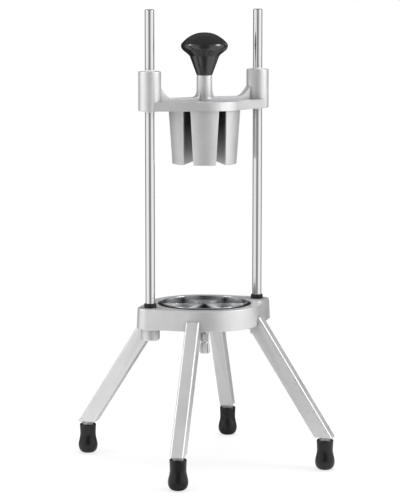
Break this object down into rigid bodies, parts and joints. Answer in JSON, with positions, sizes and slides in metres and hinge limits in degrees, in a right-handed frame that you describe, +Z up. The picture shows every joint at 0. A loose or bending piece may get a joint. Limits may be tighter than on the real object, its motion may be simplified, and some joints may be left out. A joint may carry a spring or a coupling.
{
  "type": "fruit wedger press",
  "caption": "Countertop fruit wedger: a knob-topped head with tapered fingers slides on two guide rods over a crossed-blade ring on splayed legs.",
  "frame": {"origin": "on the table, under the blade axis, at the centre of the footprint", "axes": "+Z up along the guide rods; the two rods stand on X; -Y is the front"},
  "size_m": [0.1948, 0.2144, 0.4694],
  "materials": {
    "cast_aluminium": "satin cast",
    "rod_steel": "polished",
    "screw_steel": "plain",
    "blade_steel": "brushed",
    "nut_chrome": "bright",
    "foot_rubber": "satin",
    "bumper_rubber": "matte",
    "bushing_nylon": "satin",
    "knob_plastic": "gloss",
    "insert_brass": "plain"
  },
  "bodies": {
    "base": {"base_casting": "cast_aluminium", "leg_front_left": "cast_aluminium", "leg_front_right": "cast_aluminium", "leg_rear_left": "cast_aluminium", "leg_rear_right": "cast_aluminium", "leg_screws": "screw_steel", "foot_front_left": "foot_rubber", "foot_front_right": "foot_rubber", "foot_rear_left": "foot_rubber", "foot_rear_right": "foot_rubber", "guide_rod_left": "rod_steel", "guide_rod_right": "rod_steel", "rod_screws": "screw_steel", "bumper_left": "bumper_rubber", "bumper_right": "bumper_rubber", "blade_ring": "blade_steel", "blade_lower": "blade_steel", "blade_middle": "blade_steel", "blade_upper": "blade_steel"},
    "nut_front": {"thumb_nut_front": "nut_chrome"},
    "nut_rear": {"thumb_nut_rear": "nut_chrome"},
    "head": {"head_casting": "cast_aluminium", "push_block": "cast_aluminium", "push_block_screws": "screw_steel", "bushing_left_upper": "bushing_nylon", "bushing_left_lower": "bushing_nylon", "bushing_right_upper": "bushing_nylon", "bushing_right_lower": "bushing_nylon", "knob": "knob_plastic", "knob_stud": "screw_steel", "knob_insert": "insert_brass"}
  },
  "joints": [
    {"name": "head_slide", "type": "slide", "parent": "base", "child": "head", "axis": [0, 0, 1], "range_m": [-0.1945, 0.0595]},
    {"name": "nut_front_turn", "type": "hinge", "parent": "base", "child": "nut_front", "pos_m": [-0.02312, -0.04005, 0.135], "axis": [0, 0, 1], "continuous": true},
    {"name": "nut_rear_turn", "type": "hinge", "parent": "base", "child": "nut_rear", "pos_m": [0.02312, 0.04005, 0.135], "axis": [0, 0, 1], "continuous": true}
  ]
}
